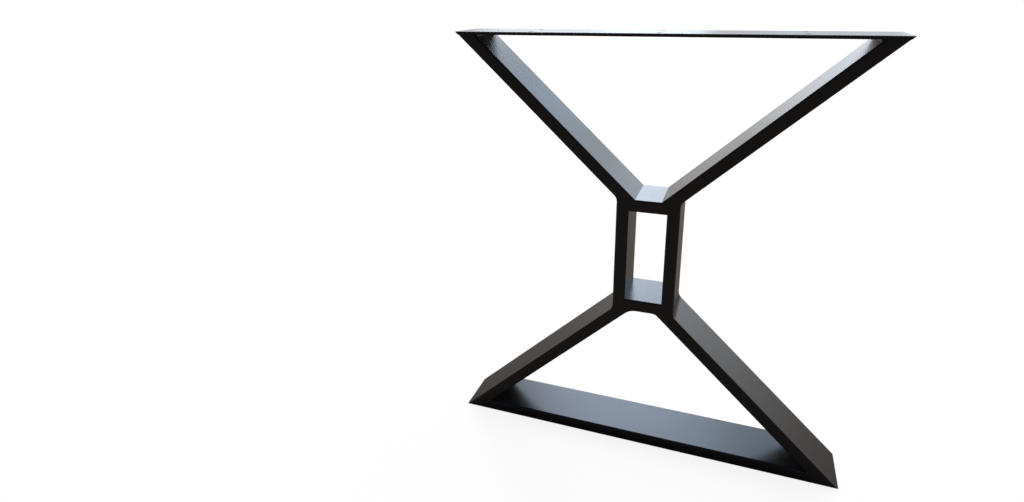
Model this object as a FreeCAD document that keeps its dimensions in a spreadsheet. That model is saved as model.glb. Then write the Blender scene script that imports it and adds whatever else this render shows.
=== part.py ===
import FreeCAD, Part
import math
import os

import Sketcher

# X shaped table leg, in millimetres.
# A frame of rectangular steel tube stands on its foot tube and carries a flat bar that screws to the table
# top. Two diagonals rise from a narrow upright neck to the ends of the bar, and two more go down from it to
# the ends of the foot tube. The origin is on the floor under the middle of the leg, X runs along the bar,
# Y through the depth of the tube and Z up. The leg is the same at the front and at the rear.

SIZES = (
    ("leg_height", 710, "floor to the top face of the bar"),
    ("bar_length", 650, "top face of the bar, tip to tip"),
    ("bar_thickness", 5, "flat bar under the table top"),
    ("bar_edge_radius", 0.5, "rounding of the bar's long edges"),
    ("foot_length", 650, "foot tube, tip to tip"),
    ("tube_depth", 90, "long side of the tube's section, front to back"),
    ("tube_thickness", 20, "short side of the tube's section"),
    ("tube_wall", 2, "wall of the tube"),
    ("inner_radius", 1, "rounding of the tube's bore"),
    ("neck_width", 100, "over the outer faces of the two posts"),
    ("neck_height", 195, "over the outer faces of the two crosspieces"),
    ("neck_base", 257.5, "floor to the underside of the neck"),
    ("screw_diameter", 8, "clearance hole for a wood screw or insert bolt"),
    ("screw_spacing", 400, "between the outer screw holes, along the bar"),
    ("screw_row_spacing", 50, "between the two rows of screw holes"),
    ("weld_leg", 5, "side of a fillet weld in a corner"),
    ("broad_weld_leg", 9, "side of the broader fillet weld under the neck's left end"),
)

# Places and runs that follow from the sizes.
NECK_TOP = "(sizes.neck_base + sizes.neck_height)"
NECK_HALF = "(sizes.neck_width / 2)"
BAR_UNDERSIDE = "(sizes.leg_height - sizes.bar_thickness)"
CORNER_RADIUS = "(sizes.inner_radius + sizes.tube_wall)"
MITRE_RUN = "sizes.tube_thickness"

# The outer face of an upper diagonal points at the bar's tip, and the bar's end is bevelled in line with it.
UPPER_SLOPE = f"atan2(sizes.leg_height - {NECK_TOP}; sizes.bar_length / 2 - {NECK_HALF})"
UPPER_END_X = f"({NECK_HALF} + ({BAR_UNDERSIDE} - {NECK_TOP}) / tan({UPPER_SLOPE}))"
UPPER_LENGTH = f"(({BAR_UNDERSIDE} - {NECK_TOP}) / sin({UPPER_SLOPE}))"
UPPER_LEVEL_RUN = f"(sizes.tube_thickness / tan({UPPER_SLOPE}))"
UPPER_FOOT = f"(sizes.tube_thickness / sin({UPPER_SLOPE}))"

# The outer face of a lower diagonal runs down to the foot tube's tip, where the two tubes share a mitre.
LOWER_SLOPE = f"atan2(sizes.neck_base; sizes.foot_length / 2 - {NECK_HALF})"
LOWER_LENGTH = f"(sizes.neck_base / sin({LOWER_SLOPE}))"
LOWER_LEVEL_RUN = f"(sizes.tube_thickness / tan({LOWER_SLOPE}))"
LOWER_FOOT = f"(sizes.tube_thickness / sin({LOWER_SLOPE}))"
TIP_MITRE_RUN = f"(sizes.tube_thickness / tan({LOWER_SLOPE} / 2))"

# One row for each tube. In its own frame a tube lies along X with its outer face on Z = 0 and its inner face
# above it. The runs say how far the inner face starts after the outer one, and how far after it it ends.
# name, X and Z of the outer face's start, turn about Y, outer length, run at the start, run at the end
TUBES = (
    ("foot_tube", "-sizes.foot_length / 2", "0", "0", "sizes.foot_length",
     TIP_MITRE_RUN, f"-{TIP_MITRE_RUN}"),
    ("lower_left_diagonal", f"-{NECK_HALF}", "sizes.neck_base", f"180 deg - {LOWER_SLOPE}", LOWER_LENGTH,
     f"-{LOWER_LEVEL_RUN}", f"-{TIP_MITRE_RUN}"),
    ("lower_right_diagonal", "sizes.foot_length / 2", "0", f"180 deg + {LOWER_SLOPE}", LOWER_LENGTH,
     TIP_MITRE_RUN, LOWER_LEVEL_RUN),
    ("neck_bottom_crosspiece", f"-{NECK_HALF}", "sizes.neck_base", "0", "sizes.neck_width",
     MITRE_RUN, f"-{MITRE_RUN}"),
    ("neck_top_crosspiece", NECK_HALF, NECK_TOP, "180", "sizes.neck_width",
     MITRE_RUN, f"-{MITRE_RUN}"),
    ("neck_left_post", f"-{NECK_HALF}", NECK_TOP, "90", "sizes.neck_height",
     MITRE_RUN, f"-{MITRE_RUN}"),
    ("neck_right_post", NECK_HALF, "sizes.neck_base", "-90", "sizes.neck_height",
     MITRE_RUN, f"-{MITRE_RUN}"),
    ("upper_left_diagonal", f"-{UPPER_END_X}", BAR_UNDERSIDE, UPPER_SLOPE, UPPER_LENGTH,
     UPPER_LEVEL_RUN, UPPER_LEVEL_RUN),
    ("upper_right_diagonal", NECK_HALF, NECK_TOP, f"-{UPPER_SLOPE}", UPPER_LENGTH,
     f"-{UPPER_LEVEL_RUN}", f"-{UPPER_LEVEL_RUN}"),
)

# One row for each diagonal's end on the neck. The groove under it lies along the crosspiece's outer face.
# name, X where the groove weld starts, Z of that face, turn about Y, length of the diagonal's end
DIAGONAL_FEET = (
    ("upper_left", f"-({NECK_HALF} - {UPPER_FOOT} + {CORNER_RADIUS})", NECK_TOP, "180", UPPER_FOOT),
    ("upper_right", f"{NECK_HALF} - {CORNER_RADIUS}", NECK_TOP, "180", UPPER_FOOT),
    ("lower_left", f"-({NECK_HALF} - {CORNER_RADIUS})", "sizes.neck_base", "0", LOWER_FOOT),
    ("lower_right", f"{NECK_HALF} - {LOWER_FOOT} + {CORNER_RADIUS}", "sizes.neck_base", "0", LOWER_FOOT),
)

# One row for each pair of fillet welds. They fill the sharp corners under the bar, the blunt ones under the
# neck, and the outer ones where the posts meet the upper and the lower diagonals.
# name, X and Z of the right-hand corner, directions of its two faces from +X towards +Z, size of the weld in
# the left-hand corner, size in the right-hand one
FILLET_WELDS = (
    ("weld_top", f"({UPPER_END_X} - {UPPER_FOOT})", BAR_UNDERSIDE, "180 deg", f"(180 deg + {UPPER_SLOPE})",
     "sizes.weld_leg", "sizes.weld_leg"),
    ("weld_neck", f"({NECK_HALF} - {LOWER_FOOT})", "sizes.neck_base", "180 deg", f"(0 deg - {LOWER_SLOPE})",
     "sizes.broad_weld_leg", "sizes.weld_leg"),
    ("weld_shoulder", NECK_HALF, NECK_TOP, "270 deg", UPPER_SLOPE,
     "sizes.weld_leg", "sizes.weld_leg"),
    ("weld_hip", NECK_HALF, "sizes.neck_base", "90 deg", f"(0 deg - {LOWER_SLOPE})",
     "sizes.weld_leg", "sizes.weld_leg"),
)

SIDES = (("left", -1), ("right", 1))
FACES = (("front", -1), ("rear", 1))
SCREW_PLACES = (-1, 0, 1)

# Two unit vectors whose cross product is shorter than this count as parallel.
PARALLEL = 1e-6


def make_sheet(doc):
    """Spreadsheet with a name, a number and a note for each driving size."""
    sheet = doc.addObject("Spreadsheet::Sheet", "sizes")
    for row, (name, value, note) in enumerate(SIZES, 1):
        sheet.set(f"A{row}", name)
        sheet.set(f"B{row}", str(value))
        sheet.setAlias(f"B{row}", name)
        sheet.set(f"C{row}", note)
    doc.recompute()
    return sheet


def evaluate(doc, expression):
    """Number that an expression on the sheet's cells gives now."""
    result = doc.getObject("sizes").evalExpression(expression)
    return float(getattr(result, "Value", result))


def make_body(doc, label):
    """Empty body with a label."""
    body = doc.addObject("PartDesign::Body", label)
    body.Label = label
    return body


def place(body, x, z, turn):
    """Put a body's own origin at X and Z and turn the body about Y."""
    body.Placement = FreeCAD.Placement(FreeCAD.Vector(), FreeCAD.Rotation(FreeCAD.Vector(0, 1, 0), 0))
    body.setExpression("Placement.Base.x", x)
    body.setExpression("Placement.Base.z", z)
    body.setExpression("Placement.Rotation.Angle", turn)


def make_sketch(body, name, role):
    """Sketch on one of the body's own origin planes."""
    sketch = body.newObject("Sketcher::SketchObject", name)
    plane = [item for item in body.Origin.OriginFeatures if item.Role == role][0]
    sketch.AttachmentSupport = [(plane, "")]
    sketch.MapMode = "FlatFace"
    return sketch


def hold(sketch, kind, geometry, point, expression):
    """Hold a point's distance from the sketch's origin at an expression."""
    start = evaluate(sketch.Document, expression)
    index = sketch.addConstraint(Sketcher.Constraint(kind, -1, 1, geometry, point, start))
    sketch.setExpression(f"Constraints[{index}]", expression)


def hold_radius(sketch, geometry, expression):
    """Hold an arc's radius at an expression."""
    start = evaluate(sketch.Document, expression)
    index = sketch.addConstraint(Sketcher.Constraint("Radius", geometry, start))
    sketch.setExpression(f"Constraints[{index}]", expression)


def draw_polygon(sketch, corners):
    """Closed outline of straight lines with each corner held at two expressions."""
    points = [FreeCAD.Vector(evaluate(sketch.Document, across), evaluate(sketch.Document, up), 0)
              for across, up in corners]
    count = len(corners)
    for index in range(count):
        sketch.addGeometry(Part.LineSegment(points[index], points[(index + 1) % count]), False)
    for index in range(count):
        sketch.addConstraint(Sketcher.Constraint("Coincident", index, 2, (index + 1) % count, 1))
    for index, (across, up) in enumerate(corners):
        hold(sketch, "DistanceX", index, 1, across)
        hold(sketch, "DistanceY", index, 1, up)


def draw_bore(sketch):
    """Rounded rectangle of the tube's bore, centred across its depth and one wall in from each face."""
    doc = sketch.Document
    half = evaluate(doc, "sizes.tube_depth / 2 - sizes.tube_wall")
    low = evaluate(doc, "sizes.tube_wall")
    high = evaluate(doc, "sizes.tube_thickness - sizes.tube_wall")
    radius = evaluate(doc, "sizes.inner_radius")
    inside = half - radius
    lines = (
        ((-inside, low), (inside, low)),
        ((half, low + radius), (half, high - radius)),
        ((inside, high), (-inside, high)),
        ((-half, high - radius), (-half, low + radius)),
    )
    corners = (
        (inside, low + radius, -math.pi / 2),
        (inside, high - radius, 0),
        (-inside, high - radius, math.pi / 2),
        (-inside, low + radius, math.pi),
    )
    for (x0, z0), (x1, z1) in lines:
        sketch.addGeometry(Part.LineSegment(FreeCAD.Vector(x0, z0, 0), FreeCAD.Vector(x1, z1, 0)), False)
    for x, z, begin in corners:
        circle = Part.Circle(FreeCAD.Vector(x, z, 0), FreeCAD.Vector(0, 0, 1), radius)
        sketch.addGeometry(Part.ArcOfCircle(circle, begin, begin + math.pi / 2), False)
    count = len(lines)
    for side in range(count):
        arc = count + side
        sketch.addConstraint(Sketcher.Constraint("Tangent", side, 2, arc, 1))
        sketch.addConstraint(Sketcher.Constraint("Tangent", arc, 2, (side + 1) % count, 1))
    for arc in range(count + 1, 2 * count):
        sketch.addConstraint(Sketcher.Constraint("Equal", count, arc))
    sketch.addConstraint(Sketcher.Constraint("Symmetric", 0, 1, 0, 2, -2))
    sketch.addConstraint(Sketcher.Constraint("Vertical", 1))
    sketch.addConstraint(Sketcher.Constraint("Horizontal", 2))
    sketch.addConstraint(Sketcher.Constraint("Vertical", 3))
    hold_radius(sketch, count, "sizes.inner_radius")
    hold(sketch, "DistanceX", 1, 1, "sizes.tube_depth / 2 - sizes.tube_wall")
    hold(sketch, "DistanceY", 0, 1, "sizes.tube_wall")
    hold(sketch, "DistanceY", 2, 1, "sizes.tube_thickness - sizes.tube_wall")


def pad_across(body, sketch, depth):
    """Pad a front view equally to the front and to the rear."""
    pad = body.newObject("PartDesign::Pad", "depth")
    pad.Profile = sketch
    pad.SideType = "Symmetric"
    pad.setExpression("Length", depth)
    sketch.Document.recompute()
    return pad


def round_long_edges(body, base, radius):
    """Round the edges that run along the body's own X."""
    axis = FreeCAD.Vector(1, 0, 0)
    names = []
    for number, edge in enumerate(base.Shape.Edges, 1):
        if edge.tangentAt(edge.FirstParameter).cross(axis).Length < PARALLEL:
            names.append(f"Edge{number}")
    fillet = body.newObject("PartDesign::Fillet", "long_edges")
    fillet.Base = (base, names)
    fillet.setExpression("Radius", radius)
    body.Document.recompute()
    return fillet


def make_tube(doc, label, x, z, turn, length, start_run, end_run):
    """Length of rectangular tube with its long edges rounded, cut at both ends and open through its bore."""
    body = make_body(doc, label)
    outline = make_sketch(body, "side_view", "XZ_Plane")
    draw_polygon(outline, (
        ("0", "0"),
        (length, "0"),
        (f"{length} + {end_run}", "sizes.tube_thickness"),
        (start_run, "sizes.tube_thickness"),
    ))
    blank = pad_across(body, outline, "sizes.tube_depth")
    rounded = round_long_edges(body, blank, CORNER_RADIUS)
    section = make_sketch(body, "bore_section", "YZ_Plane")
    draw_bore(section)
    bore = body.newObject("PartDesign::Pocket", "bore")
    bore.Profile = section
    bore.Type = "ThroughAll"
    bore.SideType = "Symmetric"
    place(body, x, z, turn)
    doc.recompute()
    if bore.Shape.Volume >= rounded.Shape.Volume:
        raise RuntimeError(f"the bore of {label} removed nothing")
    return body


def make_bar(doc):
    """Flat bar with bevelled ends, rounded long edges and three pairs of screw holes."""
    body = make_body(doc, "top_bar")
    outline = make_sketch(body, "front_view", "XZ_Plane")
    draw_polygon(outline, (
        ("-sizes.bar_length / 2", "sizes.leg_height"),
        ("sizes.bar_length / 2", "sizes.leg_height"),
        (UPPER_END_X, BAR_UNDERSIDE),
        (f"-{UPPER_END_X}", BAR_UNDERSIDE),
    ))
    blank = pad_across(body, outline, "sizes.tube_depth")
    rounded = round_long_edges(body, blank, "sizes.bar_edge_radius")
    centres = make_sketch(body, "screw_centres", "XY_Plane")
    centres.setExpression("AttachmentOffset.Base.z", "sizes.leg_height")
    radius = evaluate(doc, "sizes.screw_diameter / 2")
    for place_along in SCREW_PLACES:
        for _, face in FACES:
            across = f"{place_along} * sizes.screw_spacing / 2"
            back = f"{face} * sizes.screw_row_spacing / 2"
            centre = FreeCAD.Vector(evaluate(doc, across), evaluate(doc, back), 0)
            circle = centres.addGeometry(Part.Circle(centre, FreeCAD.Vector(0, 0, 1), radius), False)
            hold(centres, "DistanceX", circle, 3, across)
            hold(centres, "DistanceY", circle, 3, back)
            hold_radius(centres, circle, "sizes.screw_diameter / 2")
    doc.recompute()
    holes = body.newObject("PartDesign::Hole", "screw_holes")
    holes.Profile = centres
    holes.DepthType = "ThroughAll"
    holes.setExpression("Diameter", "sizes.screw_diameter")
    doc.recompute()
    if holes.Shape.Volume >= rounded.Shape.Volume:
        raise RuntimeError("the screw holes removed nothing")
    return body


def make_groove_weld(doc, label, face, x, z, turn, foot):
    """Weld metal between a diagonal's cut end and the rounded edge of the crosspiece, ground flush."""
    body = make_body(doc, label)
    section = make_sketch(body, "groove_section", "YZ_Plane")
    depth = evaluate(doc, "sizes.tube_depth / 2")
    radius = evaluate(doc, CORNER_RADIUS)
    begin, end = (-math.pi / 2, 0) if face > 0 else (math.pi, 3 * math.pi / 2)
    corner = FreeCAD.Vector(face * depth, 0, 0)
    on_level_face = FreeCAD.Vector(face * (depth - radius), 0, 0)
    on_upright_face = FreeCAD.Vector(face * depth, radius, 0)
    centre = FreeCAD.Vector(face * (depth - radius), radius, 0)
    circle = Part.Circle(centre, FreeCAD.Vector(0, 0, 1), radius)
    level_end, upright_end = (1, 2) if face > 0 else (2, 1)
    section.addGeometry(Part.LineSegment(on_level_face, corner), False)
    section.addGeometry(Part.LineSegment(corner, on_upright_face), False)
    section.addGeometry(Part.ArcOfCircle(circle, begin, end), False)
    section.addConstraint(Sketcher.Constraint("Coincident", 0, 2, 1, 1))
    section.addConstraint(Sketcher.Constraint("Tangent", 0, 1, 2, level_end))
    section.addConstraint(Sketcher.Constraint("Tangent", 1, 2, 2, upright_end))
    section.addConstraint(Sketcher.Constraint("PointOnObject", 0, 2, -1))
    section.addConstraint(Sketcher.Constraint("Horizontal", 0))
    section.addConstraint(Sketcher.Constraint("Vertical", 1))
    hold(section, "DistanceX", 0, 2, f"{face} * sizes.tube_depth / 2")
    hold_radius(section, 2, CORNER_RADIUS)
    run = body.newObject("PartDesign::Pad", "run")
    run.Profile = section
    run.setExpression("Length", f"{foot} - 2 * {CORNER_RADIUS}")
    place(body, x, z, turn)
    doc.recompute()
    return body


def make_fillet_weld(doc, label, side, x, z, first, second, leg):
    """Fillet weld in the corner between two faces that leave it in the first and in the second direction."""
    body = make_body(doc, label)
    outline = make_sketch(body, "front_view", "XZ_Plane")
    corners = [(f"{side} * {x}", z)]
    for turn in (first, second):
        corners.append((f"{side} * ({x} + {leg} * cos({turn}))", f"{z} + {leg} * sin({turn})"))
    draw_polygon(outline, corners)
    pad_across(body, outline, f"sizes.tube_depth - 2 * {CORNER_RADIUS}")
    return body


def make_leg(doc):
    """All pieces of the leg."""
    pieces = [make_tube(doc, *row) for row in TUBES]
    pieces.append(make_bar(doc))
    for place_name, x, z, turn, foot in DIAGONAL_FEET:
        for face_name, face in FACES:
            label = f"weld_{place_name}_{face_name}"
            pieces.append(make_groove_weld(doc, label, face, x, z, turn, foot))
    for weld_name, x, z, first, second, *legs in FILLET_WELDS:
        for (side_name, side), leg in zip(SIDES, legs):
            label = f"{weld_name}_{side_name}"
            pieces.append(make_fillet_weld(doc, label, side, x, z, first, second, leg))
    return pieces


def check(doc, pieces):
    """Stop if an object failed or a piece isn't one valid solid."""
    for item in doc.Objects:
        if "Invalid" in item.State or "Error" in item.State:
            raise RuntimeError(f"{item.Label} failed: {item.State}")
    for piece in pieces:
        if piece.Shape.isNull() or not piece.Shape.isValid() or len(piece.Shape.Solids) != 1:
            raise RuntimeError(f"{piece.Label} isn't one valid solid")


def main():
    """Build the leg and write each piece to its own file."""
    os.makedirs("parts", exist_ok=True)
    doc = FreeCAD.newDocument("table_leg")
    make_sheet(doc)
    pieces = make_leg(doc)
    doc.recompute()
    check(doc, pieces)
    for piece in pieces:
        piece.Shape.exportStep(f"parts/{piece.Label}.step")
        box = piece.Shape.BoundBox
        print(f"{piece.Label:28s} {piece.Shape.Volume:12.1f} mm3  "
              f"{box.XLength:6.1f} x {box.YLength:5.1f} x {box.ZLength:6.1f}")


main()
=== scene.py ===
"""Welded x shaped table leg in satin black powder coat, dressed around its solids.

The frame is sawn rectangular tube, welded, ground flush and coated. The tubes and the bar show as they
are, with a procedural coat. The weld metal is made here, as surfaces that are worked out with numpy.
"""

import logging
import math
from dataclasses import dataclass
from enum import Enum

import bpy
import numpy as np
from mathutils import Matrix, Vector


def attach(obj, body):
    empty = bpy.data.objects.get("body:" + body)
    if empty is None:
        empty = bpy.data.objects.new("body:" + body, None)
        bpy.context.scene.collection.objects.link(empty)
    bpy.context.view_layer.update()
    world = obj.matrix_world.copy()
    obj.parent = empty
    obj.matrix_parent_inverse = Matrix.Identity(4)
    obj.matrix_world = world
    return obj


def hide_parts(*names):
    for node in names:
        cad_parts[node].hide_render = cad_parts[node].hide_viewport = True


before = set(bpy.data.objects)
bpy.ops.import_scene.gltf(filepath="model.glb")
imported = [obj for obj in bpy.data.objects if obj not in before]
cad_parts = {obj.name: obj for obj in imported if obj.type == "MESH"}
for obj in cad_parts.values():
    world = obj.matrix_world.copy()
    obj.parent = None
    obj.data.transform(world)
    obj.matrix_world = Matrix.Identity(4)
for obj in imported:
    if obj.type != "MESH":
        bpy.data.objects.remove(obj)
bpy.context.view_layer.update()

log = logging.getLogger("table_leg")

BODY = "root"
PHOTO_WIDTH, PHOTO_HEIGHT = 1024.0, 502.0
SENSOR_WIDTH = 36.0
CREASE = math.radians(35.0)
NOISE_MIDDLE = 0.5
WHITE = (1.0, 1.0, 1.0)

Number = float | int


class Hand(Enum):
    """Which side of the leg a piece is on."""

    LEFT = -1
    RIGHT = 1

    @property
    def word(self) -> str:
        """The side's name, as the nodes have it."""
        return self.name.lower()


class Face(Enum):
    """Which of the two broad faces of the leg a piece lies in."""

    FRONT = -1
    REAR = 1

    @property
    def word(self) -> str:
        """The face's name, as the nodes have it."""
        return self.name.lower()


class End(Enum):
    """Which half of the leg a piece is in: above the neck or below it."""

    UPPER = 1
    LOWER = -1

    @property
    def word(self) -> str:
        """The half's name, as the nodes have it."""
        return self.name.lower()

    @property
    def joint(self) -> str:
        """What the outside corner between that half and a post of the neck is called."""
        return "shoulder" if self is End.UPPER else "hip"


@dataclass(frozen=True)
class LegSizes:
    """The welded frame's driving sizes in metres, and the places that follow from them."""

    height: float = 0.710
    half_width: float = 0.325
    depth: float = 0.090
    bar_thickness: float = 0.005
    tube_face: float = 0.020
    tube_edge: float = 0.003
    neck_half: float = 0.050
    neck_base: float = 0.2575
    neck_height: float = 0.195

    @property
    def neck_top(self) -> float:
        """Height of the neck's top face, on which the upper diagonals stand."""
        return self.neck_base + self.neck_height

    @property
    def bar_underside(self) -> float:
        """Height of the bar's lower face."""
        return self.height - self.bar_thickness

    @property
    def slope(self) -> float:
        """Slope of all four diagonals, which run from the neck's corners to the leg's."""
        return math.atan2(self.neck_base, self.half_width - self.neck_half)

    @property
    def neck_corner(self) -> float:
        """Where a diagonal's inner face meets the neck: its level cut is tube_face / sin(slope) wide."""
        return self.neck_half - self.tube_face / math.sin(self.slope)

    @property
    def bar_corner(self) -> float:
        """Where an upper diagonal's inner face meets the bar."""
        return self.neck_corner + (self.bar_underside - self.neck_top) / math.tan(self.slope)


LEG = LegSizes()


# Shader maths


class Value:
    """One shader value. Arithmetic on it adds Math nodes to its graph."""

    def __init__(self, graph: "Graph", socket: bpy.types.NodeSocket | None) -> None:
        """Keeps the graph and the socket that the value comes out of, if the node has one."""
        self.graph = graph
        self.socket = socket

    def __add__(self, other: "Value | Number") -> "Value":
        """The sum."""
        return self.graph.maths("ADD", self, other)

    def __sub__(self, other: "Value | Number") -> "Value":
        """The difference."""
        return self.graph.maths("SUBTRACT", self, other)

    def __rsub__(self, other: "Value | Number") -> "Value":
        """A number less this value."""
        return self.graph.maths("SUBTRACT", other, self)

    def __mul__(self, other: "Value | Number") -> "Value":
        """The product."""
        return self.graph.maths("MULTIPLY", self, other)

    __radd__ = __add__
    __rmul__ = __mul__

    def between(self, low: Number, high: Number, start: Number = 0.0, end: Number = 1.0) -> "Value":
        """Eases from start to end as the value goes from low to high.

        Args:
            low: where the change starts.
            high: where it ends.
            start: the value below low.
            end: the value above high.

        Returns:
            The eased value.
        """
        return self.graph.add("ShaderNodeMapRange", {"interpolation_type": "SMOOTHSTEP"}, {
            "Value": self, "From Min": low, "From Max": high, "To Min": start, "To Max": end})


class Graph:
    """The node tree of one material or world."""

    def __init__(self, tree: bpy.types.NodeTree) -> None:
        """Empties the tree.

        Args:
            tree: the node tree to build in.
        """
        self.tree = tree
        self.tree.nodes.clear()

    def add(self, kind: str, settings: dict[str, object] | None = None,
            inputs: dict[str | int, object] | None = None, output: str | int = 0) -> Value:
        """Adds a node, sets it up, fills its sockets and gives one of its outputs.

        Args:
            kind: the node's type.
            settings: the node's own settings, such as a Math node's operation. They are set first.
            inputs: values or links of its sockets, by name, identifier or place.
            output: name, identifier or place of the output that is wanted.

        Returns:
            The output as a value.
        """
        node = self.tree.nodes.new(kind)
        for name, setting in (settings or {}).items():
            setattr(node, name, setting)
        for key, given in (inputs or {}).items():
            socket = self.find(node.inputs, key)
            if isinstance(given, Value):
                self.tree.links.new(given.socket, socket)
            elif hasattr(given, "__len__") and len(given) < len(socket.default_value):
                socket.default_value = (*given, 1.0)
            else:
                socket.default_value = given
        return Value(self, self.find(node.outputs, output) if len(node.outputs) else None)

    @staticmethod
    def find(sockets: bpy.types.bpy_prop_collection, key: str | int) -> bpy.types.NodeSocket:
        """The socket with that place, identifier or name."""
        if isinstance(key, int):
            return sockets[key]
        return next((s for s in sockets if s.identifier == key), None) or sockets[key]

    def maths(self, operation: str, first: Value | Number, second: Value | Number = 0.0) -> Value:
        """A Math node of that operation on the two values."""
        return self.add("ShaderNodeMath", {"operation": operation}, {0: first, 1: second})

    def mix(self, share: Value | Number, first: object, second: object) -> Value:
        """Two colours, the second over the first by share."""
        return self.add("ShaderNodeMix", {"data_type": "RGBA"},
                        {"Factor_Float": share, "A_Color": first, "B_Color": second}, "Result_Color")

    def place(self) -> Value:
        """Object coordinates, in metres."""
        return self.add("ShaderNodeTexCoord", output="Object")

    def scale(self, place: Value, times: tuple[float, float, float]) -> Value:
        """Coordinates that are multiplied along each axis by a Mapping node."""
        return self.add("ShaderNodeMapping", inputs={"Vector": place, "Scale": times})

    def noise(self, place: Value, size: float, detail: float, roughness: float) -> Value:
        """Cloudy noise from 0 to 1.

        Args:
            place: the coordinates.
            size: how wide the blots are, about, in metres.
            detail: how many finer layers lie on the blots.
            roughness: how strong those layers are.

        Returns:
            The noise.
        """
        return self.add("ShaderNodeTexNoise", {"noise_dimensions": "3D"}, {
            "Vector": place, "Scale": 1.0 / size, "Detail": detail, "Roughness": roughness})

    def bump(self, height: Value, depth: float, under: Value | None = None) -> Value:
        """A Bump node: height from 0 to 1 stands depth metres tall.

        Args:
            height: the relief.
            depth: its full height in metres.
            under: a coarser relief that this one lies on.

        Returns:
            The normal.
        """
        inputs = {"Height": height, "Distance": depth, "Strength": 1.0}
        if under is not None:
            inputs["Normal"] = under
        return self.add("ShaderNodeBump", inputs=inputs)


# Finishes


@dataclass(frozen=True)
class PowderCoat:
    """Satin black powder coat: near black, with orange peel, a fine grain and a slow change in gloss.

    Dust lies on it in wide clouds and in specks a little wider than the peel. Either is eased in between
    two levels of its noise, and counts by its share. Lines that run along X are left where they are asked
    for, from the drawing of the steel under the coat.
    """

    name: str
    black: tuple[float, float, float] = (0.0086, 0.0095, 0.0122)
    dusty: tuple[float, float, float] = (0.0136, 0.0142, 0.0160)
    cloud_size: float = 0.055
    cloud_levels: tuple[float, float] = (0.42, 0.68)
    cloud_share: float = 0.55
    speck_spread: float = 1.6
    speck_levels: tuple[float, float] = (0.50, 0.72)
    speck_share: float = 0.25
    gloss: float = 0.26
    cloud_gloss: float = 0.05
    grain_gloss: float = 0.02
    peel_size: float = 0.0032
    peel_depth: float = 0.000008
    grain_size: float = 0.0008
    grain_depth: float = 0.0000025
    line_gloss: float = 0.0
    line_width: float = 0.0045
    line_squeeze: float = 0.02
    index: float = 1.5

    def material(self) -> bpy.types.Material:
        """The coat as a node material.

        Returns:
            The new material.
        """
        made = bpy.data.materials.new(self.name)
        made.use_nodes = True
        g = Graph(made.node_tree)
        place = g.place()
        peel = g.noise(place, self.peel_size, detail=1.0, roughness=0.4)
        grain = g.noise(place, self.grain_size, detail=2.0, roughness=0.6)
        cloud = g.noise(place, self.cloud_size, detail=3.0, roughness=0.55)
        speck = g.noise(place, self.peel_size * self.speck_spread, detail=2.0, roughness=0.5)
        clouds = cloud.between(*self.cloud_levels) * self.cloud_share
        specks = speck.between(*self.speck_levels) * self.speck_share
        colour = g.mix(clouds + specks, self.black, self.dusty)
        rough = self.gloss + (cloud - NOISE_MIDDLE) * self.cloud_gloss
        rough = rough + (grain - NOISE_MIDDLE) * self.grain_gloss
        if self.line_gloss:
            along = g.scale(place, (self.line_squeeze, 1.0, 1.0))
            lines = g.noise(along, self.line_width, detail=3.0, roughness=0.6)
            rough = rough + (lines - NOISE_MIDDLE) * self.line_gloss
        relief = g.bump(peel, self.peel_depth)
        normal = g.bump(grain, self.grain_depth, relief)
        surface = g.add("ShaderNodeBsdfPrincipled", inputs={
            "Base Color": colour, "Roughness": rough, "Metallic": 0.0, "IOR": self.index, "Normal": normal})
        g.add("ShaderNodeOutputMaterial", inputs={"Surface": surface})
        return made


@dataclass(frozen=True)
class BeadCoat(PowderCoat):
    """The same coat over a rippled bead: a finer but deeper peel."""

    gloss: float = 0.27
    peel_size: float = 0.0022
    peel_depth: float = 0.000012


@dataclass(frozen=True)
class GroundCoat(PowderCoat):
    """The same coat over weld metal that was ground flush: a finer peel and a little less gloss."""

    gloss: float = 0.29
    peel_size: float = 0.0022


# Surfaces


def make_piece(name: str, points: np.ndarray, quads: np.ndarray) -> bpy.types.Object:
    """Makes a mesh object from points and faces, smooth but for its creases.

    Args:
        name: the piece's name.
        points: corners, one row each, in metres.
        quads: faces, one row of four corner numbers each.

    Returns:
        The object, at the origin.
    """
    mesh = bpy.data.meshes.new(name)
    mesh.from_pydata(points.tolist(), [], quads.tolist())
    made = bpy.data.objects.new(name, mesh)
    bpy.context.scene.collection.objects.link(made)
    mesh.polygons.foreach_set("use_smooth", np.ones(len(mesh.polygons), bool))
    mesh.validate()
    mesh.set_sharp_from_angle(angle=CREASE)
    mesh.update()
    return made


def loop_quads(sections: int, around: int) -> np.ndarray:
    """Faces of a tube of closed loops: each point and its next one, with the same two of the next loop.

    Args:
        sections: how many sections there are.
        around: how many points each has.

    Returns:
        Corner numbers, four to a face.
    """
    s, a = np.meshgrid(np.arange(sections - 1), np.arange(around), indexing="ij")
    nxt = (a + 1) % around
    quads = np.stack([s * around + a, s * around + nxt, (s + 1) * around + nxt, (s + 1) * around + a], -1)
    return quads.reshape(-1, 4)


def end_quads(start: int, around: int) -> np.ndarray:
    """Faces that close a flat end: the loop's two halves are joined rung by rung, like a ladder.

    Args:
        start: number of the loop's first point.
        around: how many points the loop has, an even number.

    Returns:
        Corner numbers, four to a face.
    """
    k = np.arange(around // 2 - 1)
    return np.stack([start + k, start + k + 1, start + around - 2 - k, start + around - 1 - k], -1)


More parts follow.
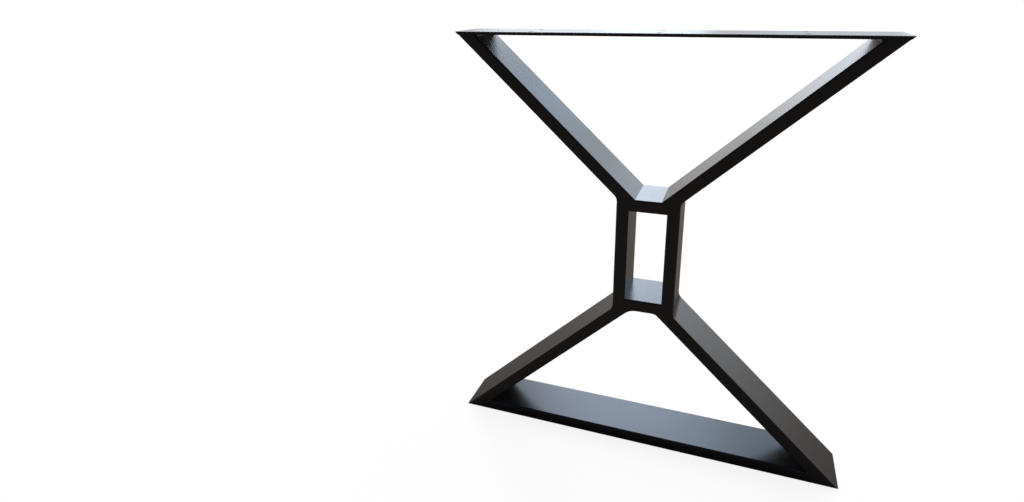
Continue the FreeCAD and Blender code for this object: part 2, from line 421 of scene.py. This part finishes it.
def close_tube(name: str, grid: np.ndarray) -> bpy.types.Object:
    """Makes a closed piece from a grid of sections by closing both of its ends.

    Args:
        name: the piece's name.
        grid: points, section by section, each an even number of points in a loop.

    Returns:
        The object, its faces turned outwards.
    """
    sections, around, _ = grid.shape
    quads = np.concatenate([loop_quads(sections, around), end_quads(0, around)[:, ::-1],
                            end_quads((sections - 1) * around, around)])
    points = grid.reshape(-1, 3)
    corners = points[quads]
    across = np.cross(corners[:, 2] - corners[:, 0], corners[:, 3] - corners[:, 1])
    volume = np.einsum("ij,ij->", corners.mean(1) - points.mean(0), across)
    return make_piece(name, points, quads if volume > 0 else quads[:, ::-1])


@dataclass(frozen=True)
class Sway:
    """One slow unsteadiness of a hand: how far it goes, its length over a full turn's radians, its start."""

    far: float
    length: float
    start: float = 0.0


def unsteady(place: np.ndarray, sways: tuple[Sway, ...]) -> np.ndarray:
    """Adds up the sways at each place: far * sin(place / length + start)."""
    return sum(sway.far * np.sin(place / sway.length + sway.start) for sway in sways)


@dataclass
class FilletBead:
    """A short weld laid in the inside corner between two faces, rippled and rounded at its ends."""

    name: str
    node: str
    corner: tuple[float, float]
    along_first: tuple[float, float]
    along_second: tuple[float, float]
    leg: float = 0.005
    length: float = LEG.depth - 2 * LEG.tube_edge
    ripple: float = 0.00016
    rest: float = 0.5
    pitch: float = 0.0026
    lag: float = 0.55
    drift: tuple[Sway, ...] = (Sway(0.18, 0.0071), Sway(0.12, 0.0031, 1.3))
    swell: tuple[Sway, ...] = (Sway(0.06, 0.0113, 0.6),)
    sink: float = 0.0003
    fan: float = 1.1
    blunt: float = 0.006
    steps: int = 260
    across: int = 18

    def build(self, coat: bpy.types.Material) -> bpy.types.Object:
        """Makes the bead.

        In the plane across the weld, the skin runs from one leg's end to the other. With s from 0 to 1 it
        is corner + leg * ((1 - s) * first + s * second), and the leg swells and shrinks along the weld.
        The skin is lifted away from the corner by the ripple, which is the root of |sin| of the place
        along the weld less its value at rest, so that its valleys are sharp, times the root of
        4 s (1 - s), so that it fades at the edges. There it also lags by a share of the pitch, which bends
        it to a crescent, and the places drift by shares of the pitch. Each end shrinks towards the corner
        as a quarter of a circle, and stops blunt, before it comes to nothing. The back lies twice sink
        behind the corner, drawn out to fan times that, so that no two of its points fall together.

        Args:
            coat: the material.

        Returns:
            The bead, riding on its body.
        """
        first, second = np.array(self.along_first), np.array(self.along_second)
        out = first + second
        out /= np.linalg.norm(out)
        y = np.linspace(-self.length / 2, self.length / 2, self.steps)
        s = np.linspace(0.0, 1.0, self.across)
        yy, ss = np.meshgrid(y, s, indexing="ij")
        drift = self.pitch * unsteady(yy, self.drift)
        lag = self.lag * self.pitch * (2.0 * ss - 1.0) ** 2
        wave = np.sqrt(np.abs(np.sin(math.pi * (yy + drift - lag) / self.pitch)))
        lift = np.sqrt(4.0 * ss * (1.0 - ss)) * self.ripple * (wave - self.rest)
        leg = self.leg * (1.0 + unsteady(yy, self.swell))
        skin = leg[..., None] * ((1.0 - ss)[..., None] * first + ss[..., None] * second)
        skin = skin + lift[..., None] * out
        reach = np.clip((self.length / 2 - np.abs(yy)) / self.leg, self.blunt, 1.0)
        taper = np.sqrt(1.0 - (1.0 - reach) ** 2)[..., None]
        skin = skin * taper - self.sink * out
        back = np.broadcast_to(-2.0 * self.sink * out, (self.steps, self.across, 2))
        loop = np.concatenate([skin, back * np.linspace(1.0, self.fan, self.across)[None, :, None]], 1)
        depth = np.concatenate([yy, yy[:, ::-1]], 1)
        corner = np.array(self.corner)
        grid = np.stack([corner[0] + loop[..., 0], depth, corner[1] + loop[..., 1]], -1)
        made = close_tube(self.name, grid)
        return dress_new(made, self.node, coat)


@dataclass
class DressedFillet:
    """A weld in the corner between two faces, ground hollow and flush, with the tubes' own rounded edge."""

    name: str
    node: str
    corner: tuple[float, float]
    hand: Hand
    first: float
    second: float
    leg: float = 0.0068
    depth: float = LEG.depth
    edge: float = LEG.tube_edge
    root: float = 0.0034
    flush: float = 0.00005
    proud: float = 0.00003
    uneven: tuple[Sway, ...] = (Sway(0.00012, 0.0083, 0.7), Sway(0.000072, 0.0037))
    along: int = 120
    round_steps: int = 10
    across: int = 20

    def build(self, coat: bpy.types.Material) -> bpy.types.Object:
        """Makes the fill.

        The two faces leave the corner in the directions first and second, turned from X towards Z on the
        right-hand side. The skin is a hollow arc that touches both faces, leg away from the corner: with n
        turning from the one face's normal to the other's, it is centre - (radius + fall) * n. The fall is
        the tubes' rounded edge: at a turn a round it, it is edge * (1 - cos a), and the place through the
        depth is edge * sin a past where the edge starts. The skin stands proud of that by a hair, so that
        it covers the faces where it touches them, and between them the grinding left it uneven. The back
        lies root below the faces.

        Args:
            coat: the material.

        Returns:
            The fill, riding on its body.
        """
        corner = np.array([self.hand.value * self.corner[0], self.corner[1]])
        ways = [np.array([self.hand.value * math.cos(turn), math.sin(turn)])
                for turn in (self.first, self.second)]
        normals = [self.square_to(ways[0], ways[1]), self.square_to(ways[1], ways[0])]
        bend = math.acos(float(np.clip(normals[0] @ normals[1], -1.0, 1.0)))
        radius = self.leg / math.tan(bend / 2)
        middle = normals[0] + normals[1]
        centre = corner + middle / np.linalg.norm(middle) * radius / math.cos(bend / 2)
        y, fall = self.edge_profile()
        s = np.linspace(0.0, 1.0, self.across)
        turned = np.sin((1.0 - s) * bend)[:, None] * normals[0] + np.sin(s * bend)[:, None] * normals[1]
        turned /= math.sin(bend)
        hollow = unsteady(y, self.uneven)[:, None] * np.sin(math.pi * s) ** 2
        reach = radius - self.proud + fall[:, None] + hollow
        skin = centre - reach[..., None] * turned
        back = np.broadcast_to(centre - (radius + self.root) * turned, skin.shape)
        loop = np.concatenate([skin, back[:, ::-1]], 1)
        through = np.broadcast_to(y[:, None], loop.shape[:2])
        grid = np.stack([loop[..., 0], through, loop[..., 1]], -1)
        return dress_new(close_tube(self.name, grid), self.node, coat)

    def edge_profile(self) -> tuple[np.ndarray, np.ndarray]:
        """Places through the depth, front to back, and how far the rounded edge has fallen at each."""
        last = math.asin((self.edge - self.flush) / self.edge)
        turn = np.linspace(0.0, last, self.round_steps)
        start = self.depth / 2 - self.edge
        rounded = start + self.edge * np.sin(turn)
        fall = self.edge * (1.0 - np.cos(turn))
        middle = np.linspace(-start, start, self.along)[1:-1]
        return (np.concatenate([-rounded[::-1], middle, rounded]),
                np.concatenate([fall[::-1], np.zeros(len(middle)), fall]))

    @staticmethod
    def square_to(way: np.ndarray, other: np.ndarray) -> np.ndarray:
        """Unit vector square to a way, on the side of the other one."""
        rest = other - (other @ way) * way
        return rest / np.linalg.norm(rest)


@dataclass
class GroundSeam:
    """Weld metal in the groove between a diagonal's foot and a crosspiece's round edge, ground flush."""

    name: str
    node: str
    hand: Hand
    face: Face
    end: End
    level: float
    inner: float = LEG.neck_corner
    outer: float = LEG.neck_half
    slope: float = LEG.slope
    depth: float = LEG.depth
    radius: float = LEG.tube_edge
    sink: float = 0.0004
    steps: int = 90
    around: int = 14

    def build(self, coat: bpy.types.Material) -> bpy.types.Object:
        """Makes the seam.

        At each place along the groove the skin starts on the outline of the diagonal's foot and ends on
        the flat face next to it. With t from 0 to a quarter turn it is foot + (flat - foot) * sin t
        across, and radius * (1 - cos t) away from the foot. The foot's outline is the tube's rounded edge,
        met at the slope of the diagonal, and the flat's is the post's rounded edge. The back lies sink
        behind the skin.

        Args:
            coat: the material.

        Returns:
            The seam, riding on its body.
        """
        x = np.linspace(self.inner, self.outer, self.steps)
        t = np.linspace(0.0, math.pi / 2, self.around)
        xx, tt = np.meshgrid(x, t, indexing="ij")
        flush = self.depth / 2
        centre = flush - self.radius
        lean = math.sin(self.slope)
        foot = centre + self.round_edge(np.minimum(xx - self.inner, self.outer - xx) * lean)
        flat = centre + self.round_edge(self.outer - xx)
        across = foot + (flat - foot) * np.sin(tt)
        down = self.radius * (1.0 - np.cos(tt))
        behind = np.minimum(centre + self.radius * np.sin(tt), across) - self.sink
        under = down + self.sink * np.cos(tt)
        y = np.concatenate([across, behind[:, ::-1]], 1) * self.face.value
        z = self.level - self.end.value * np.concatenate([down, under[:, ::-1]], 1)
        grid = np.stack([np.concatenate([xx, xx], 1) * self.hand.value, y, z], -1)
        return dress_new(close_tube(self.name, grid), self.node, coat)

    def round_edge(self, distance: np.ndarray) -> np.ndarray:
        """Height of a rounded edge, d from its side: the root of r squared less (r - d) squared."""
        inside = np.clip(distance, 0.0, self.radius)
        return np.sqrt(np.maximum(self.radius ** 2 - (self.radius - inside) ** 2, 0.0))


def dress_new(piece: bpy.types.Object, node: str, coat: bpy.types.Material) -> bpy.types.Object:
    """Gives a new piece its coat and its body, and hides the node that it replaces.

    Args:
        piece: the new piece.
        node: the node that it replaces.
        coat: its material.

    Returns:
        The piece.
    """
    piece.data.materials.append(coat)
    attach(piece, BODY)
    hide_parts(node)
    return piece


def dress_node(name: str, coat: bpy.types.Material) -> bpy.types.Object:
    """Lays a coat over a solid of the frame.

    Args:
        name: the node's name.
        coat: its material.

    Returns:
        The node's object.
    """
    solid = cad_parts[name]
    for place in solid.material_slots:
        place.material = coat
    return solid


# Sub-assemblies


@dataclass
class TopBar:
    """The flat bar under the table top, with its fillet welds to the upper diagonals."""

    underside: float = LEG.bar_underside
    corner: float = LEG.bar_corner
    slope: float = LEG.slope
    coat: PowderCoat = PowderCoat("coat_on_bar", line_gloss=0.05)
    bead: BeadCoat = BeadCoat("coat_on_top_welds")

    def build(self) -> list[bpy.types.Object]:
        """Lays the two welds in the sharp corners under the bar."""
        coat = self.bead.material()
        inwards, down = -math.cos(self.slope), -math.sin(self.slope)
        return [FilletBead(f"bead_top_{hand.word}", f"weld_top_{hand.word}",
                           (hand.value * self.corner, self.underside), (-hand.value, 0.0),
                           (hand.value * inwards, down)).build(coat) for hand in Hand]

    def dress(self) -> list[bpy.types.Object]:
        """Coats the bar."""
        return [dress_node("top_bar", self.coat.material())]


@dataclass
class Vee:
    """Two diagonals, the ground seams where they meet the neck, and the fills in the corners outside."""

    end: End
    level: float
    coat: PowderCoat
    seam: GroundCoat
    outer: float = LEG.neck_half
    slope: float = LEG.slope

    def build(self) -> list[bpy.types.Object]:
        """Fills the four grooves at the neck, and the two corners between posts and diagonals."""
        coat = self.seam.material()
        word, joint = self.end.word, self.end.joint
        seams = [GroundSeam(f"seam_{word}_{hand.word}_{face.word}", f"weld_{word}_{hand.word}_{face.word}",
                            hand, face, self.end, self.level).build(coat) for hand in Hand for face in Face]
        post, diagonal = -self.end.value * math.pi / 2, self.end.value * self.slope
        fills = [DressedFillet(f"fill_{joint}_{hand.word}", f"weld_{joint}_{hand.word}",
                               (self.outer, self.level), hand, post, diagonal).build(coat) for hand in Hand]
        return seams + fills

    def dress(self) -> list[bpy.types.Object]:
        """Coats both diagonals."""
        coat = self.coat.material()
        return [dress_node(f"{self.end.word}_{hand.word}_diagonal", coat) for hand in Hand]


@dataclass
class UpperVee(Vee):
    """The two upper diagonals, which stand on the neck."""

    end: End = End.UPPER
    level: float = LEG.neck_top
    coat: PowderCoat = PowderCoat("coat_on_upper_diagonals")
    seam: GroundCoat = GroundCoat("coat_on_upper_seams")


@dataclass
class Neck:
    """The upright rectangle of mitred tube in the middle, with the welds in the corners under it."""

    underside: float = LEG.neck_base
    corner: float = LEG.neck_corner
    slope: float = LEG.slope
    broad_leg: float = 0.0115
    narrow_leg: float = 0.0062
    coat: PowderCoat = PowderCoat("coat_on_neck")
    fill: GroundCoat = GroundCoat("coat_on_neck_welds")

    def build(self) -> list[bpy.types.Object]:
        """Fills the two blunt corners under the neck, the left one broadly."""
        coat = self.fill.material()
        legs = {Hand.LEFT: self.broad_leg, Hand.RIGHT: self.narrow_leg}
        return [DressedFillet(f"fill_neck_{hand.word}", f"weld_neck_{hand.word}",
                              (self.corner, self.underside), hand, math.pi, -self.slope,
                              leg=legs[hand]).build(coat) for hand in Hand]

    def dress(self) -> list[bpy.types.Object]:
        """Coats the four tubes of the neck."""
        coat = self.coat.material()
        names = ("neck_left_post", "neck_right_post", "neck_top_crosspiece", "neck_bottom_crosspiece")
        return [dress_node(name, coat) for name in names]


@dataclass
class LowerVee(Vee):
    """The two lower diagonals, which carry the neck, and the foot tube under them."""

    end: End = End.LOWER
    level: float = LEG.neck_base
    coat: PowderCoat = PowderCoat("coat_on_lower_diagonals")
    seam: GroundCoat = GroundCoat("coat_on_lower_seams")
    foot_coat: PowderCoat = PowderCoat("coat_on_foot", line_gloss=0.03)

    def dress(self) -> list[bpy.types.Object]:
        """Coats both diagonals and the foot tube."""
        return super().dress() + [dress_node("foot_tube", self.foot_coat.material())]


# The studio


@dataclass
class Camera:
    """The photograph's view: its place and axes, and its focal length and optical centre in pixels."""

    eye: tuple[float, float, float] = (0.1262, -0.9980, 0.7712)
    right: tuple[float, float, float] = (0.9343, 0.3563, -0.0134)
    down: tuple[float, float, float] = (0.0920, -0.2772, -0.9564)
    focal: float = 628.35
    centre: tuple[float, float] = (504.30, 183.18)
    nearest: float = 0.01
    furthest: float = 200.0

    def build(self) -> bpy.types.Object:
        """Makes the camera and sets it as the scene's own."""
        data = bpy.data.cameras.new("photo_camera")
        data.sensor_fit = "HORIZONTAL"
        data.sensor_width = SENSOR_WIDTH
        data.lens = self.focal * SENSOR_WIDTH / PHOTO_WIDTH
        data.shift_x = (PHOTO_WIDTH / 2 - self.centre[0]) / PHOTO_WIDTH
        data.shift_y = (self.centre[1] - PHOTO_HEIGHT / 2) / PHOTO_WIDTH
        data.clip_start, data.clip_end = self.nearest, self.furthest
        made = bpy.data.objects.new("photo_camera", data)
        bpy.context.scene.collection.objects.link(made)
        right = Vector(self.right).normalized()
        up = -Vector(self.down)
        up = (up - right * up.dot(right)).normalized()
        turn = Matrix((right, up, right.cross(up))).transposed()
        made.matrix_world = Matrix.Translation(self.eye) @ turn.to_4x4()
        bpy.context.scene.camera = made
        return made


@dataclass
class Softbox:
    """One large soft lamp: its place, its size, how bright its face looks and what it points at."""

    name: str
    place: tuple[float, float, float]
    width: float
    height: float
    bright: float
    colour: tuple[float, float, float]
    aim: tuple[float, float, float] = (0.0, 0.0, 0.3)

    def build(self) -> bpy.types.Object:
        """Makes the lamp: its power is its brightness times its area times pi."""
        data = bpy.data.lights.new(self.name, "AREA")
        data.shape = "RECTANGLE"
        data.size, data.size_y = self.width, self.height
        data.energy = self.bright * self.width * self.height * math.pi
        data.color = self.colour
        made = bpy.data.objects.new(self.name, data)
        bpy.context.scene.collection.objects.link(made)
        away = (Vector(self.place) - Vector(self.aim)).normalized()
        made.matrix_world = Matrix.Translation(self.place) @ away.to_track_quat("Z", "Y").to_matrix().to_4x4()
        made.visible_camera = False
        return made


@dataclass
class Studio:
    """Pale floor, white backdrop and soft daylight from behind.

    The camera sees white all round, and the coat reflects white from behind the leg. The room on the
    camera's side is dim, and there the coat reflects the floor's own warm colour.
    """

    floor_reach: float = 40.0
    floor_drop: float = 0.0003
    floor_colour: tuple[float, float, float] = (0.41, 0.31, 0.22)
    floor_seen: tuple[float, float, float] = (0.27, 0.235, 0.21)
    floor_white: float = 0.88
    shadow_ends: tuple[float, float] = (1.0, 3.0)
    floor_turns: tuple[float, float] = (-1.0, 14.0)
    room_turns: tuple[float, float] = (-0.35, 0.55)
    backdrop: tuple[float, float, float] = (0.80, 0.84, 0.90)
    camera_side: tuple[float, float, float] = (0.058, 0.068, 0.104)
    lamps: tuple[Softbox, ...] = (
        Softbox("window_high", (-0.98, 6.36, 5.06), 2.44, 2.11, 5.9, (0.58, 0.74, 1.00)),
        Softbox("window_low", (-1.80, 7.22, 3.23), 2.89, 2.11, 4.2, (0.71, 0.83, 1.00)),
        Softbox("window_sill", (-1.10, 7.81, 1.62), 1.38, 1.26, 0.6, (0.95, 0.95, 1.00)),
        Softbox("window_side", (0.91, 6.94, 4.18), 1.35, 4.29, 1.45, (0.40, 0.68, 1.00)),
        Softbox("window_far", (3.43, 6.88, 2.51), 3.69, 2.82, 1.5, (0.62, 0.80, 1.00)),
    )

    def build(self) -> None:
        """Makes the floor, the world and the lamps, and sets the plain view."""
        bpy.context.scene.view_settings.view_transform = "Standard"
        self.make_floor()
        self.make_world()
        for lamp in self.lamps:
            lamp.build()

    @staticmethod
    def shown(g: Graph, behind: Value) -> Value:
        """How much of the white background a ray sees.

        Args:
            g: the material's or the world's graph.
            behind: from 0 on the camera's side of the leg to 1 well behind it.

        Returns:
            1 for the camera's rays and through glass, and behind for what the coat reflects.
        """
        seen = g.add("ShaderNodeLightPath", output="Is Camera Ray")
        clear = g.add("ShaderNodeLightPath", output="Is Transmission Ray")
        gloss = g.add("ShaderNodeLightPath", output="Is Glossy Ray")
        return g.maths("MAXIMUM", g.maths("MAXIMUM", seen, clear), gloss * behind)

    def make_floor(self) -> bpy.types.Object:
        """Makes the floor.

        It is matt, so that the leg's shadow falls on it, and glows white for the rays that are shown white:
        what the coat reflects turns white over floor_turns, in metres behind the leg. The glow is
        floor_white near the leg, where the floor's own light makes up the rest, and goes to full white over
        shadow_ends, in metres away. The matt colour is one for the camera and a warmer one for the coat.

        Returns:
            The floor.
        """
        reach = self.floor_reach
        corners = np.array([[-reach, -reach], [reach, -reach], [reach, reach], [-reach, reach]])
        points = np.concatenate([corners, np.full((4, 1), -self.floor_drop)], 1)
        floor = make_piece("floor", points, np.array([[0, 1, 2, 3]]))
        made = bpy.data.materials.new("floor_white")
        made.use_nodes = True
        g = Graph(made.node_tree)
        place = g.place()
        back = g.add("ShaderNodeSeparateXYZ", inputs={0: place}, output="Y")
        shown = self.shown(g, back.between(*self.floor_turns))
        away = g.add("ShaderNodeVectorMath", {"operation": "LENGTH"}, {0: place}, "Value")
        white = away.between(*self.shadow_ends, self.floor_white, 1.0)
        seen = g.add("ShaderNodeLightPath", output="Is Camera Ray")
        colour = g.mix(seen, self.floor_colour, self.floor_seen)
        matt = g.add("ShaderNodeBsdfDiffuse", inputs={"Color": colour})
        glow = g.add("ShaderNodeEmission", inputs={"Color": WHITE, "Strength": shown * white})
        surface = g.add("ShaderNodeAddShader", inputs={0: matt, 1: glow})
        g.add("ShaderNodeOutputMaterial", inputs={"Surface": surface})
        floor.data.materials.append(made)
        return floor

    def make_world(self) -> None:
        """Makes the room: dim on the camera's side, it turns to a pale backdrop over room_turns."""
        world = bpy.data.worlds.new("studio")
        bpy.context.scene.world = world
        world.use_nodes = True
        g = Graph(world.node_tree)
        way = g.add("ShaderNodeTexCoord", output="Generated")
        back = g.add("ShaderNodeSeparateXYZ", inputs={0: way}, output="Y").between(*self.room_turns)
        room = g.mix(back, self.camera_side, self.backdrop)
        colour = g.mix(self.shown(g, back), room, WHITE)
        surface = g.add("ShaderNodeBackground", inputs={"Color": colour, "Strength": 1.0})
        g.add("ShaderNodeOutputWorld", inputs={"Surface": surface})


def main() -> None:
    """Builds the view, then each sub-assembly in order, and reports each piece."""
    logging.basicConfig(level=logging.INFO, format="%(name)s: %(message)s")
    Camera().build()
    Studio().build()
    for part in (TopBar(), UpperVee(), Neck(), LowerVee()):
        for piece in part.build() + part.dress():
            log.info("%s: %s, %d faces", type(part).__name__, piece.name, len(piece.data.polygons))


if __name__ == "__main__":
    main()
